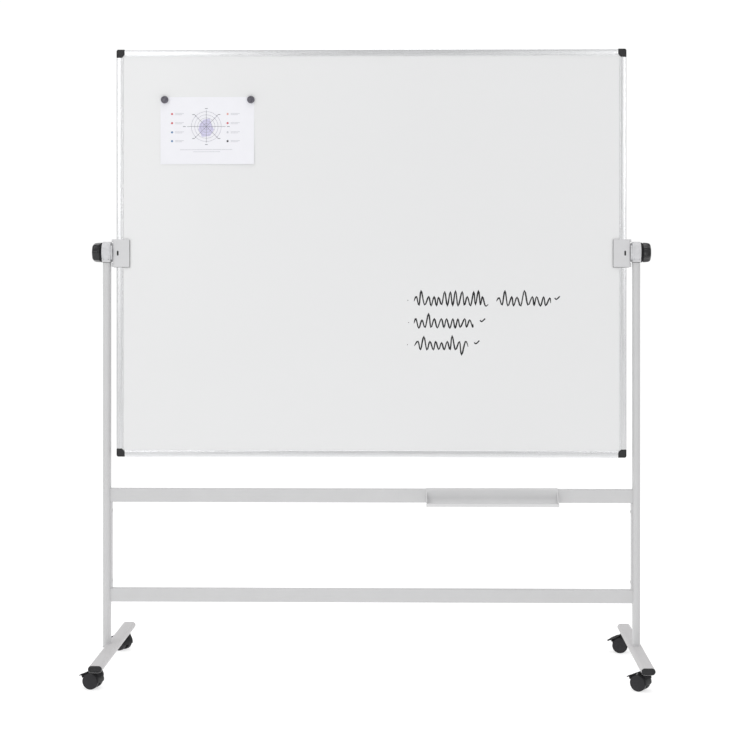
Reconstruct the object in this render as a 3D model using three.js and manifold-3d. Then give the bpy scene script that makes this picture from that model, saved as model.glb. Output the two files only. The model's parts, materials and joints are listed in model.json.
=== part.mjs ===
// A rolling whiteboard: a double-sided board that turns over between two posts, on a wheeled stand.
// Millimetres. The origin is on the floor under the middle of the board: +X to the right, +Y to the
// back, +Z up. The right half is drawn at +X, and the left half is the same half turned about Z.
import * as THREE from "three";
import { mergeVertices } from "three/addons/utils/BufferGeometryUtils.js";
import Module from "manifold-3d";

const wasm = await Module();
wasm.setup();

// Driving dimensions
const GAP = 0.3; // between pieces that touch
const BOARD = { width: 1500, height: 1200, bottom: 627, depth: 22, pivotAbove: 2 };
const RAIL = { face: 20, lip: 1.7, web: 3, round: 5 };
const CORNER = { leg: 24, proud: 0.4, wall: 3.5, radius: 6, chamfer: 8 };
const PANEL = { steel: 0.5, edge: 4 };
const TUBE = { long: 40, short: 20, wall: 1.5 };
const POST = { x: 779.5, top: 1249 };
const LEG = { xs: { left: 762, right: 777.5 }, z: 66.5, length: 600, capFlange: 3.7, capPlug: 14 };
const BAR = { upper: 513.3, lower: 219.3, corner: 2.5 };
const PLATE = { thick: 4.9, deep: 20, boltInset: 26 };
const PLATE_BOLT = { head: 5, headHeight: 2.1, shank: 2.75, hole: 3.1, length: 11 };
const BRACKET = { sheet: 1.5, height: 82, overlap: 40, beyond: 11, bend: 4, slot: [4, 14], slotInset: 4 };
const HOUSING = { radius: 30, width: 24, collar: 23, boss: 24, bossProud: 5.7 };
const PAD = { thick: 4.3, deep: 24, height: 54 };
const PIVOT_BOLT = { shank: 4, hole: 4.6, head: 8.5, headHeight: 5.6 };
const KNOB = { radius: 26.6, lobe: 1.8, lobes: 7, bevel: 3, length: 30, bore: 23 };
const TRAY = { centre: 356, length: 386, sheet: 1.5, reach: 69, curve: 20, lip: 10, endWall: 2.5 };
const MAGNET = { radius: 11.2, height: 8, z: 1679.2, xs: { left: -607.7, right: -353.2 }, paper: 0.3 };
const CASTER = { y: 242, trail: 17.5, wheel: 23.5, halfWidth: 21.3, top: 53, facets: 24 };
const SWIVEL = { front_left: -15, front_right: -31, rear_left: -31, rear_right: -8 };
const HOOD = { inner: 24.5, outer: 26.4, web: 6.3, collar: 12, stemBore: 4.4, boreFloor: 28 };
const AXLE = { radius: 3, half: 17.5 };
const PEDAL = { slope: 24, lever: 14, length: 45, thick: 2.2, clear: 24.8, knuckle: 2.6, pin: 1.3, skirt: 33 };

// Sizes that follow from them
const BOARD_Z = BOARD.bottom + BOARD.height / 2;
const PIVOT_Z = BOARD_Z + BOARD.pivotAbove;
const BAR_END = POST.x - TUBE.short / 2 - GAP;
const WEB_OUTER = BOARD.width / 2 + BRACKET.beyond;
const PANEL_FACE = BOARD.depth / 2 - RAIL.lip - GAP;
const HOUSING_OUTER = POST.x + HOUSING.width / 2;
const SIDES = [
  { name: "left", sign: -1, turn: Math.PI },
  { name: "right", sign: 1, turn: 0 },
];
const ENDS = [
  { name: "front", sign: -1 },
  { name: "rear", sign: 1 },
];
const LEVELS = [
  { name: "upper", z: BAR.upper - TUBE.long / 2 - PLATE.boltInset },
  { name: "lower", z: BAR.lower + TUBE.long / 2 + PLATE.boltInset - 4 },
];

const paint = new THREE.MeshStandardMaterial({ color: 0xd2d2d3, roughness: 0.45, metalness: 0.1 });
const legPaint = new THREE.MeshStandardMaterial({ color: 0xc8c5c6, roughness: 0.45, metalness: 0.1 });
const lacquer = new THREE.MeshStandardMaterial({ color: 0xececec, roughness: 0.2, metalness: 0 });
const aluminium = new THREE.MeshStandardMaterial({ color: 0xc4c6ca, roughness: 0.35, metalness: 0.9 });
const core = new THREE.MeshStandardMaterial({ color: 0xb59a72, roughness: 0.9, metalness: 0 });
const greyPlastic = new THREE.MeshStandardMaterial({ color: 0xd6d6d8, roughness: 0.5, metalness: 0 });
const blackPlastic = new THREE.MeshStandardMaterial({ color: 0x2c2c2f, roughness: 0.5, metalness: 0 });
const rubber = new THREE.MeshStandardMaterial({ color: 0x1e1e20, roughness: 0.85, metalness: 0 });
const steel = new THREE.MeshStandardMaterial({ color: 0x9a9a9c, roughness: 0.35, metalness: 0.9 });
const magnetPlastic = new THREE.MeshStandardMaterial({ color: 0x4a4856, roughness: 0.4, metalness: 0 });

// Solids: manifold-3d joins and cuts three.js geometries.
function solidOf(geometry) {
  const bare = geometry.clone();
  bare.deleteAttribute("normal");
  bare.deleteAttribute("uv");
  const merged = mergeVertices(bare, 1e-4);
  return new wasm.Manifold(
    new wasm.Mesh({
      numProp: 3,
      vertProperties: merged.attributes.position.array,
      triVerts: new Uint32Array(merged.index.array),
    }),
  );
}

function geometryOf(solid) {
  const mesh = solid.getMesh();
  const geometry = new THREE.BufferGeometry();
  geometry.setAttribute("position", new THREE.BufferAttribute(mesh.vertProperties, 3));
  geometry.setIndex(new THREE.BufferAttribute(mesh.triVerts, 1));
  geometry.computeVertexNormals();
  return geometry;
}

function join(first, ...others) {
  return geometryOf(others.reduce((sum, other) => sum.add(solidOf(other)), solidOf(first)));
}

function cut(body, ...tools) {
  return geometryOf(tools.reduce((rest, tool) => rest.subtract(solidOf(tool)), solidOf(body)));
}

// Blocks, rods and extrusions, each placed by its limits.
function block([x0, x1], [y0, y1], [z0, z1]) {
  return new THREE.BoxGeometry(x1 - x0, y1 - y0, z1 - z0).translate(
    (x0 + x1) / 2,
    (y0 + y1) / 2,
    (z0 + z1) / 2,
  );
}

function rodX(radius, [x0, x1], y, z, facets = 16) {
  const rod = new THREE.CylinderGeometry(radius, radius, x1 - x0, facets);
  return rod.rotateZ(Math.PI / 2).translate((x0 + x1) / 2, y, z);
}

function rodY(radius, [y0, y1], x, z, facets = 16) {
  const rod = new THREE.CylinderGeometry(radius, radius, y1 - y0, facets);
  return rod.translate(x, (y0 + y1) / 2, z);
}

function rodZ(radius, [z0, z1], x, y, facets = 16) {
  const rod = new THREE.CylinderGeometry(radius, radius, z1 - z0, facets);
  return rod.rotateX(Math.PI / 2).translate(x, y, (z0 + z1) / 2);
}

function extrude(shape, depth, curveSegments) {
  return new THREE.ExtrudeGeometry(shape, { depth, bevelEnabled: false, curveSegments });
}

// The shape's own x and y lie along Y and Z.
function alongX(shape, [x0, x1], curveSegments = 4) {
  return extrude(shape, x1 - x0, curveSegments)
    .rotateY(Math.PI / 2)
    .rotateX(Math.PI / 2)
    .translate(x0, 0, 0);
}

// The shape's own x and y lie along X and Z.
function alongY(shape, [y0, y1], curveSegments = 4) {
  return extrude(shape, y1 - y0, curveSegments)
    .rotateX(Math.PI / 2)
    .translate(0, y1, 0);
}

function alongZ(shape, [z0, z1], curveSegments = 4) {
  return extrude(shape, z1 - z0, curveSegments).translate(0, 0, z0);
}

function lathe(points, facets) {
  return new THREE.LatheGeometry(points.map(([r, h]) => new THREE.Vector2(r, h)), facets);
}

// An oval with straight long sides, centred, its long way along the shape's x.
function oval(long, short) {
  const r = short / 2;
  const s = long / 2 - r;
  const shape = new THREE.Shape();
  shape.moveTo(-s, -r);
  shape.lineTo(s, -r);
  shape.absarc(s, 0, r, -Math.PI / 2, Math.PI / 2, false);
  shape.lineTo(-s, r);
  shape.absarc(-s, 0, r, Math.PI / 2, (3 * Math.PI) / 2, false);
  return shape;
}

function roundedRectangle(width, height, r) {
  const x = width / 2 - r;
  const y = height / 2 - r;
  const shape = new THREE.Shape();
  shape.absarc(x, -y, r, -Math.PI / 2, 0, false);
  shape.absarc(x, y, r, 0, Math.PI / 2, false);
  shape.absarc(-x, y, r, Math.PI / 2, Math.PI, false);
  shape.absarc(-x, -y, r, Math.PI, (3 * Math.PI) / 2, false);
  return shape;
}

function tubeSection(outer, inner) {
  outer.holes.push(inner);
  return outer;
}

const ovalTube = () =>
  tubeSection(
    oval(TUBE.long, TUBE.short),
    oval(TUBE.long - 2 * TUBE.wall, TUBE.short - 2 * TUBE.wall),
  );

// Stand
function legTube() {
  const half = LEG.length / 2 - LEG.capFlange - GAP;
  const tube = alongY(ovalTube(), [-half, half]);
  const holes = [-1, 1].map((sign) => rodZ(5.4, [-TUBE.short, -TUBE.short / 4], 0, sign * CASTER.y));
  return cut(tube, ...holes);
}

// The plug of a leg tube's +Y end: a flange with a shallow recess, and a plug inside the tube.
function legCap() {
  const end = LEG.length / 2;
  const flange = alongY(oval(TUBE.long, TUBE.short), [end - LEG.capFlange, end]);
  const inside = 2 * (TUBE.wall + GAP);
  const plug = alongY(oval(TUBE.long - inside, TUBE.short - inside), [end - LEG.capPlug - 4, end - 1]);
  const recess = alongY(oval(TUBE.long - 6, TUBE.short - 6), [end - 2, end + 1]);
  return cut(join(flange, plug), recess);
}

// A post's foot is shaped to the leg it stands on.
function post(legX) {
  const tube = alongZ(ovalTube(), [LEG.z, POST.top]).rotateZ(Math.PI / 2).translate(POST.x, 0, 0);
  const leg = alongY(oval(TUBE.long + 2 * GAP, TUBE.short + 2 * GAP), [-TUBE.long, TUBE.long]);
  leg.translate(legX, 0, LEG.z);
  const pivotHole = rodX(PIVOT_BOLT.hole, [POST.x - TUBE.short, POST.x + TUBE.short], 0, PIVOT_Z, 24);
  const boltHoles = LEVELS.map(({ z }) => rodX(PLATE_BOLT.hole, [POST.x - TUBE.short, POST.x], 0, z, 12));
  return cut(tube, leg, pivotHole, ...boltHoles);
}

function crossbar(z) {
  const w = 2 * TUBE.wall;
  const section = tubeSection(
    roundedRectangle(TUBE.short, TUBE.long, BAR.corner),
    roundedRectangle(TUBE.short - w, TUBE.long - w, BAR.corner - TUBE.wall),
  );
  return alongX(section, [-BAR_END, BAR_END], 2).translate(0, 0, z);
}

function endPlate() {
  const zs = [BAR.lower + TUBE.long / 2 + GAP, BAR.upper - TUBE.long / 2 - GAP];
  const plate = block([BAR_END - PLATE.thick, BAR_END], [-PLATE.deep / 2, PLATE.deep / 2], zs);
  const holes = LEVELS.map(({ z }) =>
    rodX(PLATE_BOLT.hole, [BAR_END - 2 * PLATE.thick, BAR_END + PLATE.thick], 0, z, 12),
  );
  return cut(plate, ...holes);
}

function plateBolt(z) {
  const seat = BAR_END - PLATE.thick - GAP;
  const head = rodX(PLATE_BOLT.head, [seat - PLATE_BOLT.headHeight, seat], 0, z, 12);
  return join(head, rodX(PLATE_BOLT.shank, [seat - 1, seat + PLATE_BOLT.length], 0, z, 12));
}

// A round head with a straight collar below it, closed over the post's top, with a boss towards the
// board and an upright groove across the boss for the friction pad.
function pivotHousing() {
  const xs = [POST.x - HOUSING.width / 2, HOUSING_OUTER];
  const bossFace = xs[0] - HOUSING.bossProud;
  const head = rodX(HOUSING.radius, xs, 0, PIVOT_Z, 32);
  const collar = block(xs, [-HOUSING.collar, HOUSING.collar], [PIVOT_Z - HOUSING.radius, PIVOT_Z]);
  const boss = rodX(HOUSING.boss, [bossFace, xs[0] + 1], 0, PIVOT_Z, 24);
  const pocket = alongZ(oval(TUBE.long + 2 * GAP, TUBE.short + 2 * GAP), [
    PIVOT_Z - 2 * HOUSING.radius,
    POST.top + GAP,
  ]);
  pocket.rotateZ(Math.PI / 2).translate(POST.x, 0, 0);
  const bore = rodX(PIVOT_BOLT.hole, [bossFace - 1, HOUSING_OUTER + 1], 0, PIVOT_Z, 24);
  const reach = PAD.deep / 2 + GAP;
  const groove = block(
    [bossFace - 1, WEB_OUTER + PAD.thick + 2 * GAP],
    [-reach, reach],
    [PIVOT_Z - 2 * HOUSING.radius, PIVOT_Z + 2 * HOUSING.radius],
  );
  return cut(join(head, collar, boss), pocket, bore, groove);
}

function frictionPad() {
  const xs = [WEB_OUTER + GAP, WEB_OUTER + GAP + PAD.thick];
  const half = PAD.height / 2;
  const pad = block(xs, [-PAD.deep / 2, PAD.deep / 2], [PIVOT_Z - half, PIVOT_Z + half]);
  return cut(pad, rodX(PIVOT_BOLT.hole, [xs[0] - 1, xs[1] + 1], 0, PIVOT_Z, 24));
}

// Threaded into a leg from below: a collar under the leg, and the plain pin that the hood swivels on.
function casterStem() {
  const under = LEG.z - TUBE.short / 2 - GAP;
  const profile = [
    [0, HOOD.boreFloor + 0.5],
    [3.4, HOOD.boreFloor + 0.5],
    [4, HOOD.boreFloor + 1.5],
    [4, CASTER.top + 0.4],
    [9, CASTER.top + 0.4],
    [9, under],
    [5, under],
    [5, LEG.z + 7],
    [0, LEG.z + 7],
  ];
  return lathe(profile, 16).rotateX(Math.PI / 2);
}

// Board
// A rail's section: u runs in from the board's outer edge, v through its depth. The channel between
// the two lips holds the core and both steel faces.
function railSection() {
  const v = BOARD.depth / 2;
  const r = RAIL.round;
  const shape = new THREE.Shape();
  shape.moveTo(-r, v);
  shape.lineTo(-RAIL.face + 3, v - 0.3);
  shape.lineTo(-RAIL.face, v - 0.9);
  shape.lineTo(-RAIL.face, v - RAIL.lip);
  shape.lineTo(-RAIL.web, v - RAIL.lip);
  shape.lineTo(-RAIL.web, -v + RAIL.lip);
  shape.lineTo(-RAIL.face, -v + RAIL.lip);
  shape.lineTo(-RAIL.face, -v + 0.9);
  shape.lineTo(-RAIL.face + 3, -v + 0.3);
  shape.lineTo(-r, -v);
  shape.absarc(-r, -v + r, r, -Math.PI / 2, 0, false);
  shape.absarc(-r, v - r, r, 0, Math.PI / 2, false);
  return shape;
}

function rail(length) {
  const half = length / 2 - CORNER.leg - GAP;
  return alongZ(railSection(), [-half, half], 3);
}

// A cap over one corner of the board, drawn with the board's corner at the origin and its legs
// towards -X and -Z. The pocket lets the corner of the faces and core in.
function cornerCap() {
  const { leg, radius, chamfer, wall } = CORNER;
  const half = BOARD.depth / 2 + CORNER.proud;
  const shape = new THREE.Shape();
  shape.moveTo(-leg, 0);
  shape.lineTo(-leg, -leg + chamfer);
  shape.lineTo(-leg + chamfer, -leg);
  shape.lineTo(0, -leg);
  shape.absarc(-radius, -radius, radius, 0, Math.PI / 2, false);
  const slot = BOARD.depth / 2 - RAIL.lip;
  const pocket = block([-leg - 1, -wall], [-slot, slot], [-leg - 1, -wall]);
  return cut(alongY(shape, [-half, half], 3), pocket);
}

function sandwichLayer(v0, v1) {
  const x = BOARD.width / 2 - PANEL.edge;
  const z = BOARD.height / 2 - PANEL.edge;
  return new THREE.BoxGeometry(2 * x, v1 - v0, 2 * z, 3, 1, 3).translate(0, (v0 + v1) / 2, BOARD_Z);
}

// A sheet-metal U over the board's side edge, with a slot through each flange and a hole in its web.
function pivotBracket() {
  const outer = BOARD.depth / 2 + GAP + 0.1 + BRACKET.sheet;
  const inner = outer - BRACKET.sheet;
  const tip = BOARD.width / 2 - BRACKET.overlap;
  const r = BRACKET.bend;
  const bend = WEB_OUTER - r;
  const shape = new THREE.Shape();
  shape.moveTo(tip, -outer);
  shape.absarc(bend, -outer + r, r, -Math.PI / 2, 0, false);
  shape.absarc(bend, outer - r, r, 0, Math.PI / 2, false);
  shape.lineTo(tip, outer);
  shape.lineTo(tip, inner);
  shape.absarc(bend, outer - r, r - BRACKET.sheet, Math.PI / 2, 0, true);
  shape.absarc(bend, -outer + r, r - BRACKET.sheet, 0, -Math.PI / 2, true);
  shape.lineTo(tip, -inner);
  const half = BRACKET.height / 2;
  const slotX = BOARD.width / 2 - BRACKET.slotInset;
  const [slotWidth, slotHeight] = BRACKET.slot;
  const slot = oval(slotHeight, slotWidth);
  const through = alongY(slot, [-BOARD.depth, BOARD.depth], 3).rotateY(Math.PI / 2).translate(slotX, 0, BOARD_Z);
  const bolt = rodX(PIVOT_BOLT.hole, [WEB_OUTER - 5, WEB_OUTER + 1], 0, PIVOT_Z, 24);
  return cut(alongZ(shape, [BOARD_Z - half, BOARD_Z + half], 3), through, bolt);
}

function pivotBolt() {
  const seat = WEB_OUTER - BRACKET.sheet - GAP;
  const head = rodX(PIVOT_BOLT.head, [seat - PIVOT_BOLT.headHeight, seat], 0, PIVOT_Z);
  const end = HOUSING_OUTER + KNOB.bore - 1;
  return join(head, rodX(PIVOT_BOLT.shank, [seat - 1, end], 0, PIVOT_Z));
}

// A lobed grip with rounded ends and a blind bore for the bolt's end.
function knob() {
  const points = Array.from({ length: KNOB.lobes * 6 }, (_, i) => {
    const angle = (i / (KNOB.lobes * 6)) * 2 * Math.PI;
    const r = KNOB.radius + KNOB.lobe * Math.cos(KNOB.lobes * angle);
    return new THREE.Vector2(r * Math.cos(angle), r * Math.sin(angle));
  });
  const base = HOUSING_OUTER + 2 * GAP;
  const grip = new THREE.ExtrudeGeometry(new THREE.Shape(points), {
    depth: KNOB.length - 2 * KNOB.bevel,
    bevelThickness: KNOB.bevel,
    bevelSize: KNOB.bevel,
    bevelOffset: -KNOB.bevel,
    bevelSegments: 1,
  });
  grip.rotateY(Math.PI / 2).translate(base + KNOB.bevel, 0, PIVOT_Z);
  return cut(grip, rodX(PIVOT_BOLT.hole, [base - 1, base + KNOB.bore], 0, PIVOT_Z, 24));
}

function magnet() {
  const { radius: r, height: h } = MAGNET;
  const profile = [[0, 0], [r, 0], [r, h - 4], [r - 1.2, h - 1], [r - 3, h], [0, h]];
  return lathe(profile, 24).rotateZ(Math.PI);
}

// Pen tray: one folded sheet. It hooks over the upper crossbar, comes down its front, curves forward
// into a shelf and ends in a lip, with a wall across each end.
function penTray() {
  const t = TRAY.sheet;
  const face = TUBE.short / 2 + GAP;
  const top = BAR.upper + TUBE.long / 2 + GAP;
  const shelf = BAR.upper - TUBE.long / 2 - 4.5;
  const centreY = -face - TRAY.curve;
  const centreZ = shelf + TRAY.curve;
  const lipY = -TRAY.reach + 4;
  const lipZ = shelf + 4;
  const shape = new THREE.Shape();
  shape.moveTo(face + t, top - 14);
  shape.lineTo(face + t, top + t);
  shape.lineTo(-face - t, top + t);
  shape.absarc(centreY, centreZ, TRAY.curve - t, 0, -Math.PI / 2, true);
  shape.absarc(lipY, lipZ, 4 - t, -Math.PI / 2, -Math.PI, true);
  shape.lineTo(-TRAY.reach + t, shelf + TRAY.lip);
  shape.lineTo(-TRAY.reach, shelf + TRAY.lip);
  shape.absarc(lipY, lipZ, 4, Math.PI, 1.5 * Math.PI, false);
  shape.absarc(centreY, centreZ, TRAY.curve, -Math.PI / 2, 0, false);
  shape.lineTo(-face, top);
  shape.lineTo(face, top);
  shape.lineTo(face, top - 14);
  const wall = new THREE.Shape();
  wall.moveTo(-face - t / 2, top - 6);
  wall.lineTo(centreY - 16, shelf + TRAY.lip);
  wall.lineTo(-TRAY.reach + t / 2, shelf + TRAY.lip);
  wall.absarc(lipY, lipZ, 4 - t / 2, Math.PI, 1.5 * Math.PI, false);
  wall.absarc(centreY, centreZ, TRAY.curve - t / 2, -Math.PI / 2, 0, false);
  const x0 = TRAY.centre - TRAY.length / 2;
  const x1 = TRAY.centre + TRAY.length / 2;
  return join(
    alongX(shape, [x0, x1], 6),
    alongX(wall, [x0, x0 + TRAY.endWall], 6),
    alongX(wall, [x1 - TRAY.endWall, x1], 6),
  );
}

// Casters, drawn with the swivel axis at X = Y = 0, the axle along Y and the wheels trailing to -X.
const radians = (degrees) => (degrees * Math.PI) / 180;
const pedalPivot = {
  x: -CASTER.trail - Math.sin(radians(PEDAL.slope)) * (PEDAL.clear + PEDAL.thick / 2) +
    Math.cos(radians(PEDAL.slope)) * PEDAL.lever,
  z: CASTER.wheel + Math.cos(radians(PEDAL.slope)) * (PEDAL.clear + PEDAL.thick / 2) +
    Math.sin(radians(PEDAL.slope)) * PEDAL.lever,
};

// A mudguard over the wheels' front and top, a web between the wheels, a collar for the stem, the axle
// pin through the web, and two ears with the pedal's pin.
function casterHood() {
  const w = CASTER.halfWidth;
  const guardShape = new THREE.Shape();
  guardShape.absarc(0, 0, HOOD.outer, radians(-12), radians(86), false);
  guardShape.absarc(0, 0, HOOD.inner, radians(86), radians(-12), true);
  const webShape = new THREE.Shape();
  webShape.absarc(0, 0, HOOD.inner + 1, radians(-12), radians(86), false);
  webShape.absarc(0, 0, 11, radians(130), radians(320), false);
  const guard = alongY(guardShape, [-w, w], 6).translate(-CASTER.trail, 0, CASTER.wheel);
  const web = alongY(webShape, [-HOOD.web, HOOD.web], 6).translate(-CASTER.trail, 0, CASTER.wheel);
  const collar = rodZ(HOOD.collar, [CASTER.wheel + 16, CASTER.top], 0, 0, 24);
  const wheelSpace = rodY(HOOD.inner, [-w - 1, w + 1], -CASTER.trail, CASTER.wheel, 32);
  const ears = [-1, 1].map((sign) =>
    block(
      [pedalPivot.x - 2.3, pedalPivot.x + 4],
      [sign * 13.7 - 1.5, sign * 13.7 + 1.5],
      [CASTER.wheel + HOOD.inner, pedalPivot.z + 2.6],
    ),
  );
  const pin = rodY(PEDAL.pin, [-14, 14], pedalPivot.x, pedalPivot.z, 10);
  const axle = rodY(AXLE.radius, [-AXLE.half, AXLE.half], -CASTER.trail, CASTER.wheel, 12);
  const body = join(cut(collar, wheelSpace), guard, web, ...ears, pin, axle);
  return cut(body, rodZ(HOOD.stemBore, [HOOD.boreFloor, CASTER.top + 1], 0, 0, 16));
}

// A dished wheel with a blind bore. One facet faces straight down, so the flats set its radius.
function casterWheel() {
  const r = CASTER.wheel / Math.cos(Math.PI / CASTER.facets);
  const inner = HOOD.web + 0.5;
  const outer = CASTER.halfWidth;
  const profile = [
    [0, AXLE.half + 0.5],
    [AXLE.radius + 0.4, AXLE.half + 0.5],
    [AXLE.radius + 0.4, inner],
    [9, inner],
    [10.5, inner + 5],
    [18.5, inner + 5],
    [20, inner],
    [r - 1.2, inner],
    [r, inner + 1.2],
    [r, outer - 2.8],
    [r - 1.6, outer - 1],
    [0, outer],
  ];
  return lathe(profile, CASTER.facets).rotateY(Math.PI / CASTER.facets);
}

// A sloping pedal, drawn about its hinge pin with its tab towards -X. Below the plate, a filling
// follows the wheels with some clearance.
function brakePedal() {
  const outline = [
    [0, 11.8], [-6, 11.8], [-9, 19], [-PEDAL.skirt, 19], [-37, 9], [-PEDAL.length, 8],
    [-PEDAL.length, -8], [-37, -9], [-PEDAL.skirt, -19], [-9, -19], [-6, -11.8], [0, -11.8],
  ];
  const shape = new THREE.Shape(outline.map(([x, y]) => new THREE.Vector2(x, y)));
  const plate = alongZ(shape, [-PEDAL.thick / 2, PEDAL.thick / 2]);
  const filling = block([-PEDAL.skirt, -PEDAL.lever], [-19, 19], [-11, 0]);
  const axleZ = -PEDAL.clear - PEDAL.thick / 2;
  const wheels = rodY(CASTER.wheel + 1.8, [-30, 30], -PEDAL.lever, axleZ, 64);
  const knuckle = rodY(PEDAL.knuckle, [-11.8, 11.8], 0, 0, 12);
  return cut(join(plate, cut(filling, wheels), knuckle), rodY(PEDAL.pin + 0.5, [-13, 13], 0, 0, 12));
}

// Assembly
const whiteboard = new THREE.Group();

function add(parent, name, geometry, material) {
  const mesh = new THREE.Mesh(geometry, material);
  mesh.name = name;
  parent.add(mesh);
  return mesh;
}

function addHalf(side) {
  const half = new THREE.Group();
  half.rotation.z = side.turn;
  whiteboard.add(half);
  add(half, `${side.name}_post`, post(LEG.xs[side.name]), paint);
  add(half, `${side.name}_end_plate`, endPlate(), paint);
  for (const level of LEVELS) {
    add(half, `${level.name}_${side.name}_plate_bolt`, plateBolt(level.z), steel);
  }
  add(half, `${side.name}_pivot_housing`, pivotHousing(), greyPlastic);
  add(half, `${side.name}_friction_pad`, frictionPad(), rubber);
  add(half, `${side.name}_pivot_bracket`, pivotBracket(), paint);
  add(half, `${side.name}_pivot_bolt`, pivotBolt(), steel);
  add(half, `${side.name}_knob`, knob(), blackPlastic);
}

function addLeg(side) {
  const leg = new THREE.Group();
  leg.position.set(side.sign * LEG.xs[side.name], 0, LEG.z);
  whiteboard.add(leg);
  add(leg, `${side.name}_leg`, legTube(), legPaint);
  for (const end of ENDS) {
    const cap = add(leg, `${end.name}_${side.name}_leg_cap`, legCap(), blackPlastic);
    cap.rotation.z = end.sign < 0 ? Math.PI : 0;
  }
}

function addBoard() {
  const { steel: sheet } = PANEL;
  add(whiteboard, "front_panel", sandwichLayer(-PANEL_FACE, -PANEL_FACE + sheet), lacquer);
  add(whiteboard, "rear_panel", sandwichLayer(PANEL_FACE - sheet, PANEL_FACE), lacquer);
  const coreHalf = PANEL_FACE - sheet - GAP;
  add(whiteboard, "board_core", sandwichLayer(-coreHalf, coreHalf), core);

  const frame = new THREE.Group();
  frame.position.z = BOARD_Z;
  whiteboard.add(frame);
  const { width, height } = BOARD;
  const quarter = Math.PI / 2;
  const corner = cornerCap();
  const edges = [
    { name: "frame_right", turn: 0, x: width / 2, z: 0, length: height },
    { name: "frame_top", turn: -quarter, x: 0, z: height / 2, length: width },
    { name: "frame_left", turn: 2 * quarter, x: -width / 2, z: 0, length: height },
    { name: "frame_bottom", turn: quarter, x: 0, z: -height / 2, length: width },
  ];
  for (const { name, turn, x, z, length } of edges) {
    const mesh = add(frame, name, rail(length), aluminium);
    mesh.position.set(x, 0, z);
    mesh.rotation.y = turn;
  }
  const corners = [
    { name: "top_right_corner_cap", turn: 0, x: width / 2, z: height / 2 },
    { name: "top_left_corner_cap", turn: -quarter, x: -width / 2, z: height / 2 },
    { name: "bottom_left_corner_cap", turn: 2 * quarter, x: -width / 2, z: -height / 2 },
    { name: "bottom_right_corner_cap", turn: quarter, x: width / 2, z: -height / 2 },
  ];
  for (const { name, turn, x, z } of corners) {
    const mesh = add(frame, name, corner, blackPlastic);
    mesh.position.set(x, 0, z);
    mesh.rotation.y = turn;
  }
}

function addMagnets() {
  const face = -PANEL_FACE - MAGNET.paper - GAP;
  for (const [name, x] of Object.entries(MAGNET.xs)) {
    add(whiteboard, `${name}_magnet`, magnet(), magnetPlastic).position.set(x, face, MAGNET.z);
  }
}

function addCaster(side, end) {
  const label = `${end.name}_${side.name}_caster`;
  const caster = new THREE.Group();
  caster.position.set(side.sign * LEG.xs[side.name], end.sign * CASTER.y, 0);
  caster.rotation.z = radians(SWIVEL[`${end.name}_${side.name}`]);
  whiteboard.add(caster);
  add(caster, `${label}_stem`, casterStem(), steel);
  add(caster, `${label}_hood`, casterHood(), blackPlastic);
  const axle = new THREE.Group();
  axle.position.set(-CASTER.trail, 0, CASTER.wheel);
  caster.add(axle);
  add(axle, `${label}_wheel_1`, casterWheel(), blackPlastic).rotation.z = Math.PI;
  add(axle, `${label}_wheel_2`, casterWheel(), blackPlastic);
  const pedal = add(caster, `${label}_brake_pedal`, brakePedal(), blackPlastic);
  pedal.position.set(pedalPivot.x, 0, pedalPivot.z);
  pedal.rotation.y = -radians(PEDAL.slope);
}

add(whiteboard, "upper_crossbar", crossbar(BAR.upper), paint);
add(whiteboard, "lower_crossbar", crossbar(BAR.lower), paint);
add(whiteboard, "pen_tray", penTray(), legPaint);
addBoard();
addMagnets();
for (const side of SIDES) {
  addHalf(side);
  addLeg(side);
  for (const end of ENDS) {
    addCaster(side, end);
  }
}

export default whiteboard;
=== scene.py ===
"""Looks for a rolling whiteboard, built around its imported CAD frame.

Every piece is modelled in millimetres, in the frame's own axes, and scaled to metres at the end.
"""

import json
import math
import random

import bmesh
import bpy
from mathutils import Matrix, Vector


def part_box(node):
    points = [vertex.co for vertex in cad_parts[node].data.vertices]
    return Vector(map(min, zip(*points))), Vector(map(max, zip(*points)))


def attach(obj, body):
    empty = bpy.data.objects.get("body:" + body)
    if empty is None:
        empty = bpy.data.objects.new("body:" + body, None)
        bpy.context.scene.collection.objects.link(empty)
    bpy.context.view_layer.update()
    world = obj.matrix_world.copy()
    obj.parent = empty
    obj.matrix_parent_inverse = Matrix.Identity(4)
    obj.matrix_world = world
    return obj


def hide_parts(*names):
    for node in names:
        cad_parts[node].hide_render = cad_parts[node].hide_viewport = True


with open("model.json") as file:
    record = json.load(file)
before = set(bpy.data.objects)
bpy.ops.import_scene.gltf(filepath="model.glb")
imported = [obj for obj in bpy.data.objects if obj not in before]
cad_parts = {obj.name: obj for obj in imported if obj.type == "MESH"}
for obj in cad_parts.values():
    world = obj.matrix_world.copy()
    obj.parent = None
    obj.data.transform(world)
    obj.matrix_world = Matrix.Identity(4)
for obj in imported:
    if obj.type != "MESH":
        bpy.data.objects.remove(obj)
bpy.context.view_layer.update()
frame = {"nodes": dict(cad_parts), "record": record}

MM = 0.001
FRONT, BACK = -1, 1
SIDES = {"left": -1, "right": 1}
ENDS = {"front": -1, "rear": 1}


def shift(x=0.0, y=0.0, z=0.0):
    return Matrix.Translation((x, y, z))


def mm_box(node):
    """The node's lowest and highest corners, in millimetres."""
    low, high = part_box(node)
    return Vector(low) / MM, Vector(high) / MM


def mm_centre(node):
    """The middle of the node's box, as x, y and z in millimetres."""
    return [(low + high) / 2 for low, high in zip(*mm_box(node))]


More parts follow.
